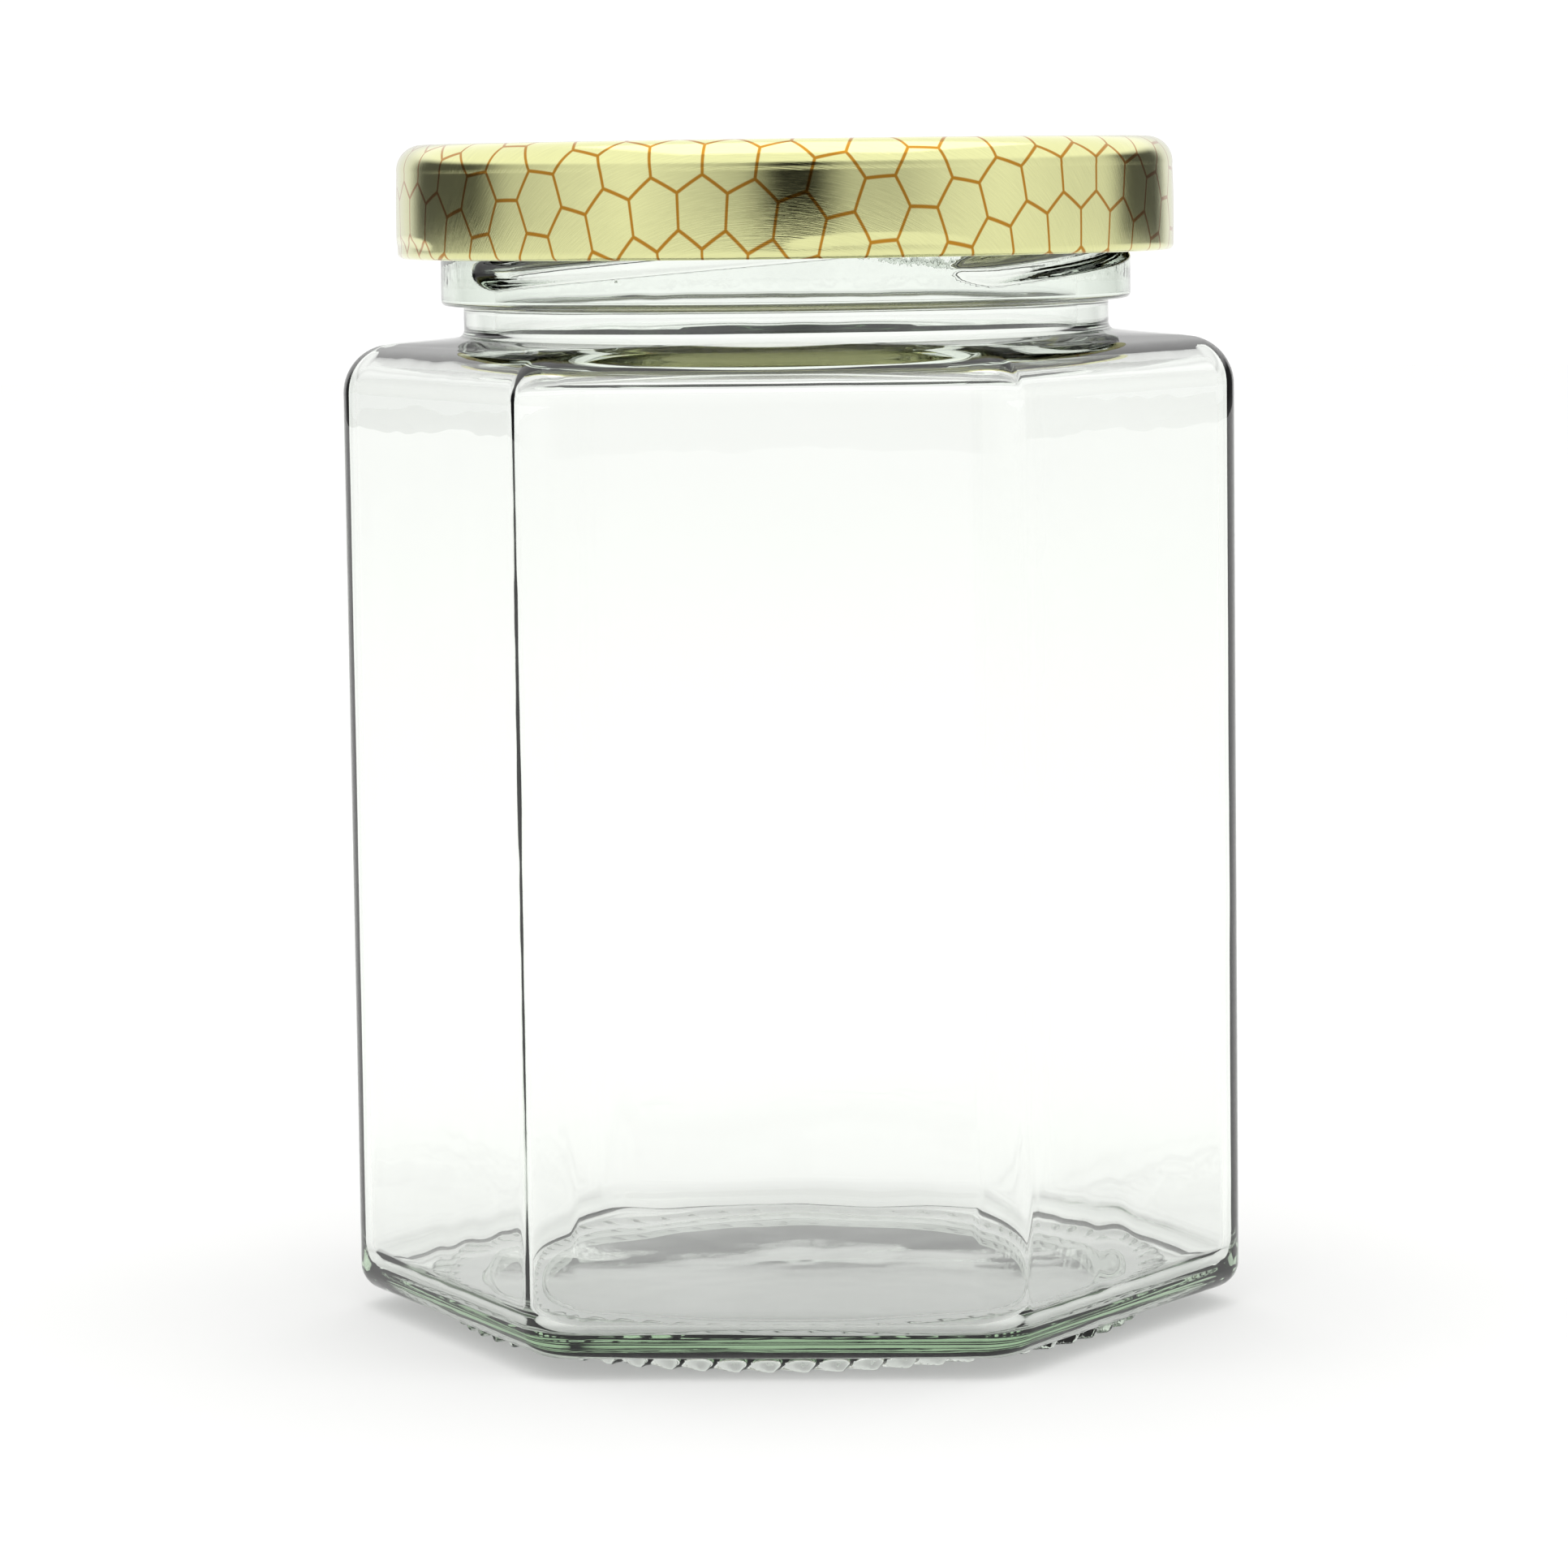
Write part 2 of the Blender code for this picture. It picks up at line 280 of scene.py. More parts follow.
def hexagon_point(size, corner, step):
    """A point on a rounded hexagon, this many columns on from the middle of a corner."""
    side, place = divmod(step + PER_SIDE // 2, PER_SIDE)
    place -= PER_SIDE // 2
    centre = polar((size - corner) / math.cos(math.radians(30)), 0)
    reach = min(abs(place), CORNER_SHARE) / CORNER_SHARE
    point = centre + polar(corner, math.radians(30 * reach))
    if abs(place) > CORNER_SHARE:
        middle = polar(size, math.radians(30))
        point = point.lerp(middle, (abs(place) - CORNER_SHARE) / (PER_SIDE / 2 - CORNER_SHARE))
    if place < 0:
        point.y = -point.y
    point.rotate(Matrix.Rotation(math.radians(60 * side), 3, "Z"))
    return point


def jar_rows(jar):
    """The rows of the jar's line: size, height, corner radius, and 1 where the row is round."""
    foot, plane = jar.foot, jar.base_plane
    rows = []

    def round_rows(pairs):
        rows.extend((size, height, 0, 1) for size, height in pairs)

    def body_rows(pairs, outer=True):
        for size, height in pairs:
            inset = jar.apothem - size if outer else jar.apothem - jar.wall - size
            corner = jar.corner if outer else jar.inner_corner
            rows.append((size, height, max(corner - inset, LEAST_CORNER), 0))

    # The underside, from its middle to the foot and out over the teeth.
    shares = (0, 0.02, 0.15, 0.3, 0.45, 0.46, 0.47, 0.6, 0.75, 0.88, 0.96)
    dome = [(foot - EDGE_ROUNDING) * share for share in shares]
    round_rows([(size, plane + jar.push_up * (1 - (size / foot) ** 2)) for size in dome])
    round_rows(arc(EDGE_ROUNDING, foot - EDGE_ROUNDING, plane - EDGE_ROUNDING, 90, 0, 4))
    round_rows(arc(SMALL_ROUNDING, foot + SMALL_ROUNDING, SMALL_ROUNDING, 180, 270, 4))
    teeth = jar.tooth_root - SMALL_ROUNDING
    round_rows(line((foot + SMALL_ROUNDING, 0), (teeth, 0), 3))
    round_rows(line((teeth, 0), (jar.tooth_tip + TOOTH_RUN_OUT, 0), 22))

    # The heel, the side and the shoulder, which turns round towards the neck.
    body_rows(arc(jar.heel, jar.apothem - jar.heel, plane + jar.heel, -90, 0, 10))
    body_rows(line((jar.apothem, plane + jar.heel), (jar.apothem, jar.wall_top), 14))
    body_rows(arc(jar.shoulder, jar.apothem - jar.shoulder, jar.wall_top, 6, 83, 13))
    low = rows[-1]
    neck_foot = jar.neck + NECK_ROUNDING
    for step in range(1, 7):
        share = step / 7
        size = low[0] + (neck_foot - low[0]) * share
        height = low[1] + (jar.neck_base - low[1]) * share
        rows.append((size, height, low[2], smooth(share)))

    # The neck, its bead and the lip.
    neck_low, neck_high = jar.neck_base + NECK_ROUNDING, jar.band_bottom - SMALL_ROUNDING
    round_rows(arc(NECK_ROUNDING, neck_foot, neck_low, 270, 180, 5))
    round_rows(line((jar.neck, neck_low), (jar.neck, neck_high), 4))
    round_rows(arc(SMALL_ROUNDING, jar.neck + SMALL_ROUNDING, neck_high, 165, 90, 3))
    bead_low = jar.band_bottom + BEAD_EDGE
    round_rows(arc(BEAD_EDGE, jar.band - BEAD_EDGE, bead_low, -90, 0, 5))
    round_rows(line((jar.band, bead_low), (jar.band, BEAD_TOP), 48))
    round_rows(arc(EDGE_ROUNDING, jar.band - EDGE_ROUNDING, BEAD_TOP, 20, 90, 3))
    round_rows([(jar.neck, FINISH_BOTTOM)])
    lip = GLASS_TOP - LIP_ROUNDING
    round_rows(arc(LIP_ROUNDING, jar.neck - LIP_ROUNDING, lip, 0, 90, 6))
    round_rows(arc(LIP_ROUNDING, jar.bore + LIP_ROUNDING, lip, 90, 180, 6))

    # Down the mouth and out under the shoulder.
    ceiling = jar.neck_base - SHOULDER_THICKNESS
    round_rows(line((jar.bore, lip), (jar.bore, ceiling + MOUTH_ROUNDING), 8))
    mouth = jar.bore + MOUTH_ROUNDING
    round_rows(arc(MOUTH_ROUNDING, mouth, ceiling + MOUTH_ROUNDING, 195, 262, 5))
    inner = jar.apothem - jar.wall
    bend = jar.inner_shoulder
    under = arc(bend, inner - bend, ceiling - bend, 84, 0, 10)
    start = rows[-1]
    for step in range(1, 5):
        share = step / 5
        size = start[0] + (under[0][0] - start[0]) * share
        height = start[1] + (under[0][1] - start[1]) * share
        rows.append((size, height, jar.inner_corner - bend, 1 - smooth(share)))

    # The inner side and the inner floor.
    body_rows(under, outer=False)
    floor_top = jar.floor + FLOOR_CURVE
    body_rows(line((inner, ceiling - bend), (inner, floor_top), 18), outer=False)
    edge = inner - FLOOR_CURVE
    body_rows(arc(FLOOR_CURVE, edge, floor_top, -9, -90, 10), outer=False)
    for share in (0.97, 0.9, 0.75, 0.6, 0.45, 0.3, 0.15, 0.02, 0):
        height = jar.floor + FLOOR_CROWN * (1 - share * share)
        if share > 0.8:
            rows.append((edge * share, height, jar.inner_corner - FLOOR_CURVE, 0))
        else:
            rows.append((edge * share, height, 0, 1))
    return rows


def groove_depth(jar, turn, height):
    """How far a thread groove cuts in here, from 0 to 1."""
    deepest = 0.0
    for groove in range(GROOVES):
        on = math.degrees(turn - jar.groove_start) + 90 - 360 / GROOVES * groove
        on = (on + 180) % 360 - 180
        if on < GROOVE_END - GROOVE_END_LENGTH or on > GROOVE_SPAN:
            continue
        middle = GROOVE_MIDDLE + GROOVE_RISE * max(on - 6, 0)
        along = max(GROOVE_END - on, 0) / GROOVE_END_LENGTH
        across = (height - middle) / GROOVE_HALF_HEIGHT
        deepest = max(deepest, 1 - math.hypot(along, across) ** 2)
    return deepest


def tooth_height(jar, turn, size):
    """Height of the underside over the toothed edge of the foot."""
    slanted = turn - (size - jar.tooth_root) * jar.tooth_lean
    wave = 0.5 + 0.5 * math.cos(slanted * TEETH)
    edge = jar.tooth_root + (jar.tooth_tip - jar.tooth_root) * wave**0.7
    run_out = jar.tooth_tip + TOOTH_RUN_OUT - edge
    return jar.base_plane * smooth((size - edge + 0.1 * MM) / run_out * 1.05)


def press_jar(bm, jar, corner_layer, round_layer):
    """Moves the points of the spun jar onto its six sides, its thread and its toothed foot."""
    for vertex in bm.verts:
        size = math.hypot(vertex.co.x, vertex.co.y)
        if size < 1e-7:
            continue
        turn = math.atan2(vertex.co.y, vertex.co.x)
        height = vertex.co.z
        roundness = vertex[round_layer]
        if roundness < 1:
            step = round(turn / math.tau * COLUMNS) % COLUMNS
            flat = hexagon_point(size, vertex[corner_layer], step)
            level = flat.lerp(polar(size, turn), roundness)
            vertex.co = (level.x, level.y, height)
            continue
        if height < 0.5 * MM and jar.tooth_root - 0.5 * MM < size:
            vertex.co.z = tooth_height(jar, turn, size)
        if abs(size - jar.band) < 0.5 * MM and jar.band_bottom < height:
            share = groove_depth(jar, turn, height)
            vertex.co = polar(size - jar.groove_depth * share, turn, height)


def ripple_inside(bm, jar):
    """Makes the inner surface a little uneven, as blown glass is."""
    inside = bm.verts.layers.float["inside"]
    for vertex in bm.verts:
        above = vertex.co.z - jar.floor
        if vertex[inside] < 0.5 or above <= -0.5 * MM or vertex.co.z >= jar.wall_top:
            continue
        fine = noise.noise(vertex.co * 190 + Vector((3, 1, 7)))
        ripple = noise.noise(vertex.co * 70) + 0.5 * fine
        near_floor = 1 - smooth(above / (14 * MM))
        out = Vector((vertex.co.x, vertex.co.y, 0)).normalized()
        vertex.co += out * ripple * (0.05 + 0.16 * near_floor) * MM
        if above < 1.5 * MM:
            vertex.co.z += ripple * 0.12 * MM


def node_tree_of(name):
    material = bpy.data.materials.new(name)
    material.use_nodes = True
    tree = material.node_tree
    return material, tree, tree.nodes["Principled BSDF"]


def add_node(tree, kind, **values):
    node = tree.nodes.new(kind)
    for name, value in values.items():
        setattr(node, name, value)
    return node


def vector_math(tree, operation, *inputs):
    node = add_node(tree, "ShaderNodeVectorMath", operation=operation)
    for socket, value in zip(node.inputs, inputs):
        if isinstance(value, bpy.types.NodeSocket):
            tree.links.new(value, socket)
        else:
            socket.default_value = value
    return node.outputs["Value" if operation == "DOT_PRODUCT" else "Vector"]


def number_math(tree, operation, *inputs):
    node = add_node(tree, "ShaderNodeMath", operation=operation)
    for socket, value in zip(node.inputs, inputs):
        if isinstance(value, bpy.types.NodeSocket):
            tree.links.new(value, socket)
        else:
            socket.default_value = value
    return node.outputs["Value"]


def mix_colour(tree, share, first, second):
    node = add_node(tree, "ShaderNodeMix", data_type="RGBA")
    for place, value in ((0, share), (6, first), (7, second)):
        socket = node.inputs[place]
        if isinstance(value, bpy.types.NodeSocket):
            tree.links.new(value, socket)
        else:
            socket.default_value = value
    return node.outputs[2]


def map_range(tree, value, low, high, new_low=0.0, new_high=1.0, kind="SMOOTHSTEP"):
    node = add_node(tree, "ShaderNodeMapRange", interpolation_type=kind)
    tree.links.new(value, node.inputs["Value"])
    names = ("From Min", "From Max", "To Min", "To Max")
    for name, number in zip(names, (low, high, new_low, new_high)):
        node.inputs[name].default_value = number
    return node.outputs["Result"]


def glass_material(finishes):
    """Clear soda glass: sharp and smooth, with faint ripples, and green where it is deep."""
    material, tree, shader = node_tree_of("clear_jar_glass")
    shader.inputs["Base Color"].default_value = (*finishes.glass, 1)
    shader.inputs["Roughness"].default_value = 0.0
    shader.inputs["IOR"].default_value = 1.52
    shader.inputs["Transmission Weight"].default_value = 1.0
    place = add_node(tree, "ShaderNodeTexCoord")
    ripples = add_node(tree, "ShaderNodeTexNoise")
    ripples.inputs["Scale"].default_value = 90
    ripples.inputs["Detail"].default_value = 2
    tree.links.new(place.outputs["Object"], ripples.inputs["Vector"])
    bump = add_node(tree, "ShaderNodeBump")
    bump.inputs["Strength"].default_value = 0.12
    bump.inputs["Distance"].default_value = 0.0004
    stretched = add_node(tree, "ShaderNodeMapping")
    stretched.inputs["Scale"].default_value = (1.0, 1.0, 0.45)
    tree.links.new(place.outputs["Object"], stretched.inputs["Vector"])
    frost = add_node(tree, "ShaderNodeTexNoise")
    frost.inputs["Scale"].default_value = 900
    frost.inputs["Detail"].default_value = 3
    tree.links.new(stretched.outputs["Vector"], frost.inputs["Vector"])
    parts = add_node(tree, "ShaderNodeSeparateXYZ")
    tree.links.new(place.outputs["Object"], parts.inputs["Vector"])
    low = map_range(tree, parts.outputs["Z"], *FROST_BOTTOM)
    high = map_range(tree, parts.outputs["Z"], *FROST_TOP, 1, 0)
    band = number_math(tree, "MULTIPLY", low, high)
    frosted = number_math(tree, "MULTIPLY", frost.outputs["Fac"], band)
    frosted = number_math(tree, "MULTIPLY", frosted, 0.55)
    height = number_math(tree, "ADD", ripples.outputs["Fac"], frosted)
    tree.links.new(height, bump.inputs["Height"])
    tree.links.new(bump.outputs["Normal"], shader.inputs["Normal"])
    depth = add_node(tree, "ShaderNodeVolumeAbsorption")
    depth.inputs["Color"].default_value = (*finishes.glass_depth, 1)
    depth.inputs["Density"].default_value = 55
    tree.links.new(depth.outputs["Volume"], tree.nodes["Material Output"].inputs["Volume"])
    return material


def honeycomb_edge(tree, blank):
    """Distance from the nearest cell wall of a honeycomb whose cells are 1 unit wide."""
    period, half = (1, math.sqrt(3), 1), (0.5, math.sqrt(3) / 2, 0.5)
    even = vector_math(tree, "SUBTRACT", vector_math(tree, "MODULO", blank, period), half)
    moved = vector_math(tree, "SUBTRACT", blank, half)
    odd = vector_math(tree, "SUBTRACT", vector_math(tree, "MODULO", moved, period), half)
    flat = (1, 1, 0)
    even = vector_math(tree, "ABSOLUTE", vector_math(tree, "MULTIPLY", even, flat))
    odd = vector_math(tree, "ABSOLUTE", vector_math(tree, "MULTIPLY", odd, flat))
    reaches = []
    for cell in (even, odd):
        sideways = vector_math(tree, "DOT_PRODUCT", cell, (1, 0, 0))
        slanted = vector_math(tree, "DOT_PRODUCT", cell, (0.5, math.sqrt(3) / 2, 0))
        reaches.append(number_math(tree, "MAXIMUM", sideways, slanted))
    return number_math(tree, "SUBTRACT", 0.5, number_math(tree, "MINIMUM", *reaches))


def lid_material(finishes, lid):
    """Gold lacquer on brushed tinplate, printed with a honeycomb in thin amber lines; the inside
    is the gold darkened as painted shade.
    """
    material, tree, shader = node_tree_of("gold_honeycomb_lacquer")
    blank = add_node(tree, "ShaderNodeUVMap", uv_map="flat_blank").outputs["UV"]
    turned = add_node(tree, "ShaderNodeMapping")
    tree.links.new(blank, turned.inputs["Vector"])
    turned.inputs["Rotation"].default_value = (0, 0, lid.print_turn)
    turned.inputs["Location"].default_value = PRINT_PLACE
    edge = honeycomb_edge(tree, turned.outputs["Vector"])
    half = lid.line / lid.cell / 2
    wall = map_range(tree, edge, half * 0.6, half * 1.5, 1, 0)
    printed = add_node(tree, "ShaderNodeAttribute", attribute_name="printed").outputs["Fac"]
    wall = number_math(tree, "MULTIPLY", wall, printed)
    brush = add_node(tree, "ShaderNodeMapping")
    tree.links.new(blank, brush.inputs["Vector"])
    brush.inputs["Scale"].default_value = (1.2, 34, 1)
    grain = add_node(tree, "ShaderNodeTexNoise")
    grain.inputs["Scale"].default_value = 1.6
    grain.inputs["Detail"].default_value = 4
    tree.links.new(brush.outputs["Vector"], grain.inputs["Vector"])
    shade = map_range(tree, grain.outputs["Fac"], 0.3, 0.7, 0, 1, "LINEAR")
    darker = tuple(channel * 0.90 for channel in finishes.gold)
    gold = mix_colour(tree, shade, (*darker, 1), (*finishes.gold, 1))
    # The inside of the lid gets the darkened gold: painted shade standing in for the shade under
    # the lid's top.
    gold = mix_colour(tree, printed, (*finishes.inside, 1), gold)
    tree.links.new(mix_colour(tree, wall, gold, (*finishes.amber, 1)), shader.inputs["Base Color"])
    satin = map_range(tree, grain.outputs["Fac"], 0.3, 0.7, 0.085, 0.14, "LINEAR")
    tree.links.new(satin, shader.inputs["Roughness"])
    shader.inputs["Metallic"].default_value = 1.0
    shader.inputs["Coat Weight"].default_value = 0.3
    shader.inputs["Coat Roughness"].default_value = 0.12
    bump = add_node(tree, "ShaderNodeBump")
    bump.inputs["Strength"].default_value = 0.06
    bump.inputs["Distance"].default_value = 0.0001
    tree.links.new(grain.outputs["Fac"], bump.inputs["Height"])
    tree.links.new(bump.outputs["Normal"], shader.inputs["Normal"])
    return material


def lid_rows(lid):
    """The rows of the lid's line, from the middle of the top over the curl to the underside."""
    radius, top = lid.radius, LID_TOP
    curl = lid.curl / 2
    panel, drop = lid.panel, lid.panel_drop
    shares = (0, 0.02, 0.2, 0.4, 0.6, 0.8, 0.92)
    outside = [(panel * share, top - drop) for share in shares]
    outside += [(panel - 0.3 * MM, top - drop), (panel, top - drop * 0.85)]
    outside += [(panel + 0.35 * MM, top - drop * 0.3), (panel + 0.8 * MM, top)]
    outside += [(panel + 2.5 * MM, top), (radius - lid.shoulder - 1.5 * MM, top)]
    outside += arc(lid.shoulder, radius - lid.barrel - lid.shoulder, top - lid.shoulder, 90, 0, 12)
    seat = LID_BOTTOM + curl
    middle = (top - lid.shoulder + seat) / 2
    half = top - lid.shoulder - middle
    steps = 30
    for step in range(steps):
        share = 1 - 2 * (step + 1) / steps
        size = radius - lid.barrel * (share**2 + share) / 2 - 0.03 * MM * share**2
        outside.append((size, middle + half * share))
    outside += arc(curl, outside[-1][0] - curl, LID_BOTTOM + curl, -12, -90, 10)
    inside_curl = radius - CURL_REACH
    outside += arc(curl, inside_curl + curl, LID_BOTTOM + curl, -100, -180, 5)
    over_curl = LID_BOTTOM + lid.curl
    over = (inside_curl + 0.2 * MM, over_curl + 0.3 * MM)
    inside = line((inside_curl, LID_BOTTOM + curl), over, 2)
    inner = radius - lid.sheet
    inside += [(inner - 0.3 * MM, over_curl + 0.5 * MM), (inner - 0.08 * MM, over_curl + 0.9 * MM)]
    inside += line(inside[-1], (inner, top - lid.shoulder), 14)
    inside += arc(lid.shoulder - lid.sheet, radius - lid.shoulder, top - lid.shoulder, 9, 90, 8)
    under = top - lid.sheet
    inside += [(panel + 2.0 * MM, under), (panel + 0.5 * MM, under)]
    inside += [(panel - 0.4 * MM, under - drop)]
    inside += [(panel * share, under - drop) for share in (0.8, 0.6, 0.4, 0.2, 0.02, 0)]
    rows = []
    spread = 0.0
    for index, (size, height) in enumerate(outside):
        if index:
            before = outside[index - 1]
            step = math.hypot(size - before[0], height - before[1])
            spread = math.sqrt(spread**2 + (size + before[0]) * step)
        rows.append((size, height, spread, 0))
    total = len(inside)
    for index, (size, height) in enumerate(inside):
        rows.append((size, height, 1 - (index + 1) / total, 1))
    return rows


def press_lugs(bm, lid):
    """Presses the four lugs in above the curl, each leaving a low arc on the skirt."""
    for vertex in bm.verts:
        size = math.hypot(vertex.co.x, vertex.co.y)
        above = vertex.co.z - LID_BOTTOM
        if size < lid.radius - LUG_REACH or above > LUG_TOP:
            continue
        turn = math.atan2(vertex.co.y, vertex.co.x) + math.pi / 2 - lid.lug_turn
        off = (turn + math.pi / 4) % (math.pi / 2) - math.pi / 4
        share = 1 - (off / lid.lug_sweep) ** 2
        if share <= 0:
            continue
        arch = lid.curl + LUG_RISE * share
        fade = smooth((arch - above + LUG_FADE) / (2 * LUG_FADE))
        depth = LUG_DEPTH * smooth(share * 1.3) * fade
        vertex.co.x *= (size - depth) / size
        vertex.co.y *= (size - depth) / size


def lay_out_lid(bm, lid, spread_layer, inside_layer):
    """Maps the lid onto the flat round blank that it was printed and pressed from."""
    flat = bm.loops.layers.uv.new("flat_blank")
    baked = bm.loops.layers.uv.new("OFBake")
    printed = bm.faces.layers.float.new("printed")
    largest = max(vertex[spread_layer] for vertex in bm.verts if vertex[inside_layer] < 0.5)
    for face in bm.faces:
        inside = any(vertex[inside_layer] > 0.5 for vertex in face.verts)
        face[printed] = 0.0 if inside else 1.0
        for loop in face.loops:
            vertex = loop.vert
            out = Vector(vertex.co.xy)
            out = out.normalized() if out.length > 1e-7 else Vector((0, 0))
            spread = vertex[spread_layer]
            if not inside:
                loop[flat].uv = out * (spread / lid.cell)
                loop[baked].uv = Vector((0.5, 0.5)) + out * (0.485 * spread / largest)
            else:
                share = spread if vertex[inside_layer] > 0.5 else 1.0
                loop[flat].uv = out * share
                loop[baked].uv = Vector((0.075, 0.075)) + out * 0.07 * share


class JAR_OT_glass(Operator):
    """Builds the clear glass jar with its thread and toothed foot"""

    bl_idname = "jar.glass"
    bl_label = "Glass Jar"

    def execute(self, context):
        jar = context.scene.jar_sizes
        bm = bmesh.new()
        rows = jar_rows(jar)
        lip = max(range(len(rows)), key=lambda index: rows[index][1])
        rows = [(*row, 1.0 if index > lip else 0.0) for index, row in enumerate(rows)]
        lathe(bm, rows, COLUMNS, ("corner", "roundness", "inside"))
        layers = bm.verts.layers.float
        press_jar(bm, jar, layers["corner"], layers["roundness"])
        ripple_inside(bm, jar)
        material = glass_material(context.scene.jar_finishes)
        finish_piece(bm, "glass_body", "glass_jar", material)
        return {"FINISHED"}


class JAR_OT_lid(Operator):
    """Builds the printed gold lid with its rolled edge and pressed lugs"""

    bl_idname = "jar.lid"
    bl_label = "Twist-Off Lid"

    def execute(self, context):
        lid = context.scene.lid_sizes
        bm = bmesh.new()
        lathe(bm, lid_rows(lid), COLUMNS, ("spread", "inside"))
        press_lugs(bm, lid)
        layers = bm.verts.layers.float
        lay_out_lid(bm, lid, layers["spread"], layers["inside"])
        material = lid_material(context.scene.jar_finishes, lid)
        finish_piece(bm, "gold_lid", "twist_lid", material)
        return {"FINISHED"}


class JAR_OT_studio(Operator):
    """Lays the pale floor and sets the soft light and the camera"""

    bl_idname = "jar.studio"
    bl_label = "Studio"

    def execute(self, context):
        studio = context.scene.jar_studio
        bm = bmesh.new()
        bmesh.ops.create_circle(bm, cap_ends=True, segments=96, radius=studio.floor_radius)
        mesh = bpy.data.meshes.new("studio_floor")
        bm.to_mesh(mesh)
        bm.free()
        floor = bpy.data.objects.new("studio_floor", mesh)
        context.scene.collection.objects.link(floor)
        material, _, shader = node_tree_of("pale_floor")
        shader.inputs["Base Color"].default_value = (*context.scene.jar_finishes.floor, 1)
        shader.inputs["Roughness"].default_value = 0.6
        shader.inputs["Specular IOR Level"].default_value = 0.0
        shader.inputs["Emission Color"].default_value = (1, 1, 1, 1)
        shader.inputs["Emission Strength"].default_value = 0.26
        mesh.materials.append(material)
        soft_sky(context.scene, studio)
        overhead = bpy.data.lights.new("overhead_softbox", "AREA")
        overhead.shape = "SQUARE"
        overhead.size = 1.2
        overhead.energy = 3
        lamp = bpy.data.objects.new("overhead_softbox", overhead)
        lamp.location = (0.1, -0.1, 1.1)
        context.scene.collection.objects.link(lamp)
        set_camera(context.scene, studio)
        context.scene.view_settings.view_transform = "Standard"
        return {"FINISHED"}


def soft_sky(scene, studio):
    """A white studio all round, with a few darker uprights at eye level for the gloss to show.

    Rays that come through the glass meet fainter uprights and a dimmer ceiling.
    """
    world = bpy.data.worlds.new("soft_studio")
    world.use_nodes = True
    scene.world = world
    tree = world.node_tree
    background = tree.nodes["Background"]
    place = add_node(tree, "ShaderNodeTexCoord")
    turned = add_node(tree, "ShaderNodeMapping")
    turned.inputs["Rotation"].default_value = (0, 0, math.radians(90) - studio.turn)
    tree.links.new(place.outputs["Generated"], turned.inputs["Vector"])
    round_about = add_node(tree, "ShaderNodeTexGradient", gradient_type="RADIAL")
    tree.links.new(turned.outputs["Vector"], round_about.inputs["Vector"])
    uprights = grey_ramp(tree, round_about.outputs["Fac"], UPRIGHTS)
    parts = add_node(tree, "ShaderNodeSeparateXYZ")
    tree.links.new(place.outputs["Generated"], parts.inputs["Vector"])
    rays = add_node(tree, "ShaderNodeLightPath")
    glassy = rays.outputs["Is Transmission Ray"]
    lift = number_math(tree, "MULTIPLY", glassy, GLASS_LIFT)
    lowered = number_math(tree, "SUBTRACT", parts.outputs["Z"], lift)
    rising = map_range(tree, lowered, *UPRIGHTS_FROM)
    overhead = map_range(tree, parts.outputs["Z"], *OVERHEAD_FROM)
    darkness = number_math(tree, "SUBTRACT", 1.0, uprights)
    dark = number_math(tree, "MULTIPLY", rising, darkness)
    through = number_math(tree, "MULTIPLY", glassy, studio.see_through)
    kept = number_math(tree, "SUBTRACT", 1.0, through)
    dark = number_math(tree, "MULTIPLY", dark, kept)
    sky = mix_colour(tree, dark, WALLS, UPRIGHT)
    sky = mix_colour(tree, overhead, sky, OVERHEAD)
    ceiling = number_math(tree, "MULTIPLY", glassy, studio.ceiling)
    high = map_range(tree, parts.outputs["Z"], *CEILING_FROM)
    ceiling = number_math(tree, "MULTIPLY", ceiling, high)
    sky = mix_colour(tree, ceiling, sky, CEILING)
    sky = mix_colour(tree, rays.outputs["Is Camera Ray"], sky, BACKDROP)
    tree.links.new(sky, background.inputs["Color"])
    background.inputs["Strength"].default_value = studio.light


def grey_ramp(tree, share, stops):
    """A ramp of greys over the full turn round the studio, with stops in degrees."""
    ramp = add_node(tree, "ShaderNodeValToRGB")
    tree.links.new(share, ramp.inputs["Fac"])
    elements = ramp.color_ramp.elements
    elements[0].position, elements[1].position = stops[0][0] / 360, stops[-1][0] / 360
    for degrees, _ in stops[1:-1]:
        elements.new(degrees / 360)
    for element, (_, grey) in zip(elements, stops):
        element.color = (grey, grey, grey, 1)
    return ramp.outputs["Color"]


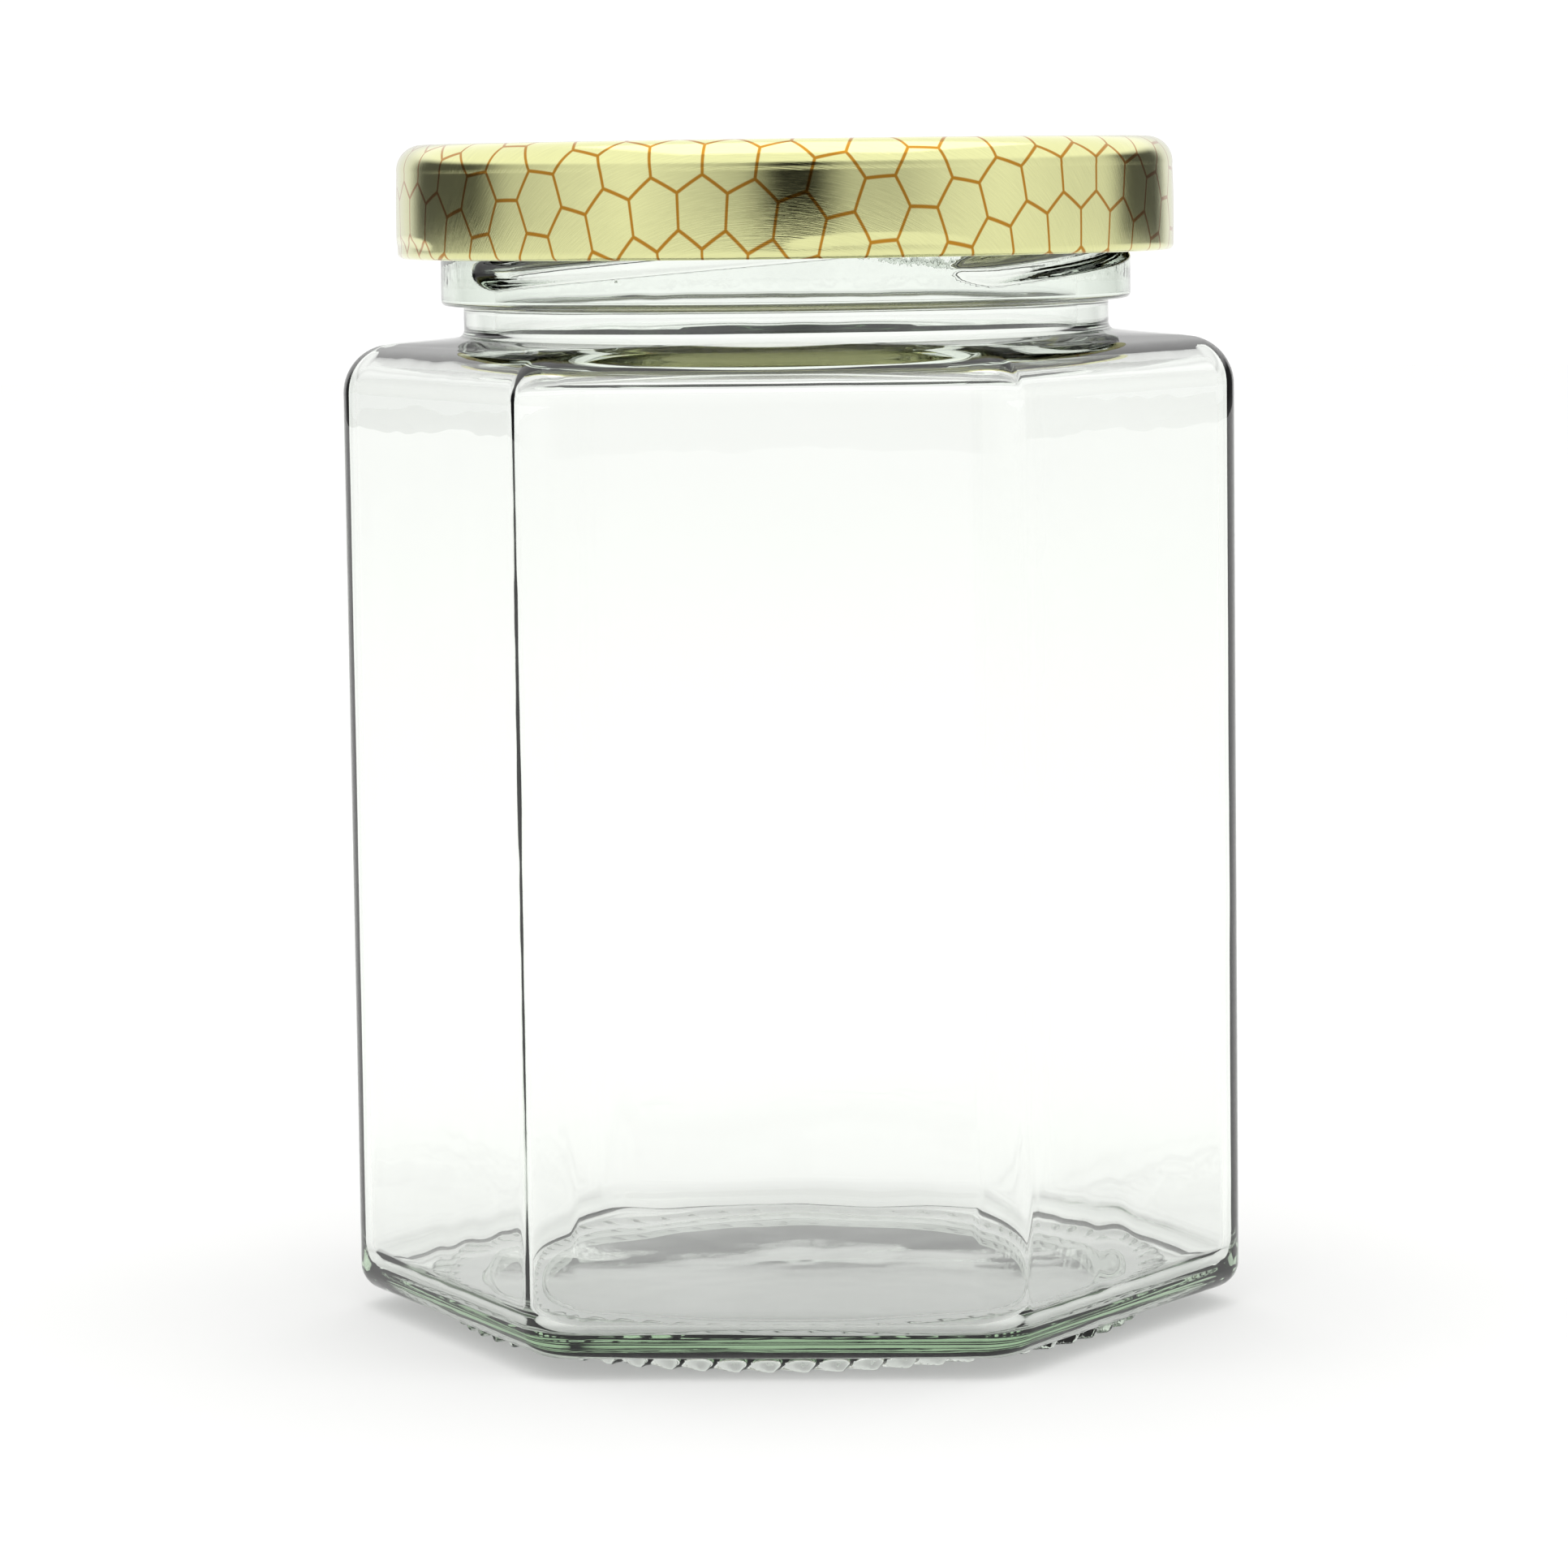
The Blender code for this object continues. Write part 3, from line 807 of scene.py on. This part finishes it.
def set_camera(scene, studio):
    """Stands the camera where the photograph was taken from."""
    data = bpy.data.cameras.new("photo_camera")
    data.lens = studio.lens
    data.sensor_width = 36
    data.clip_start, data.clip_end = 0.02, 20
    camera = bpy.data.objects.new("photo_camera", data)
    scene.collection.objects.link(camera)
    facing = studio.turn + studio.yaw
    pitch = studio.pitch
    right = Vector((math.cos(facing), math.sin(facing), 0))
    level = Vector((-math.sin(facing), math.cos(facing), 0))
    ahead = level * math.cos(pitch) - Vector((0, 0, math.sin(pitch)))
    above = right.cross(ahead)
    lean, upright = math.sin(studio.roll), math.cos(studio.roll)
    across = right * upright + above * lean
    up = above * upright - right * lean
    matrix = Matrix((across, up, -ahead)).transposed().to_4x4()
    out = Vector((math.sin(studio.turn), -math.cos(studio.turn), 0))
    matrix.translation = out * studio.distance + Vector((0, 0, studio.height))
    camera.matrix_world = matrix
    scene.camera = camera


class JAR_PT_panel(Panel):
    """Lists the pieces of the jar and their sizes"""

    bl_idname = "JAR_PT_panel"
    bl_label = "Glass Jar"
    bl_space_type = "VIEW_3D"
    bl_region_type = "UI"
    bl_category = "Glass Jar"

    def draw(self, context):
        layout = self.layout
        for operator in OPERATORS:
            layout.operator(operator.bl_idname)
        for name, group in GROUPS.items():
            box = layout.box()
            for setting in group.__annotations__:
                box.prop(getattr(context.scene, name), setting)


OPERATORS = (JAR_OT_glass, JAR_OT_lid, JAR_OT_studio)
GROUPS = {
    "jar_sizes": JarSizes,
    "lid_sizes": LidSizes,
    "jar_finishes": Finishes,
    "jar_studio": StudioSettings,
}


def register():
    for group in GROUPS.values():
        bpy.utils.register_class(group)
    for name, group in GROUPS.items():
        setattr(bpy.types.Scene, name, PointerProperty(type=group))
    for kind in (*OPERATORS, JAR_PT_panel):
        bpy.utils.register_class(kind)


def unregister():
    for kind in reversed((*OPERATORS, JAR_PT_panel)):
        bpy.utils.unregister_class(kind)
    for name, group in GROUPS.items():
        delattr(bpy.types.Scene, name)
        bpy.utils.unregister_class(group)


def main():
    register()
    bpy.ops.jar.glass()
    bpy.ops.jar.lid()
    bpy.ops.jar.studio()


if __name__ == "__main__":
    main()
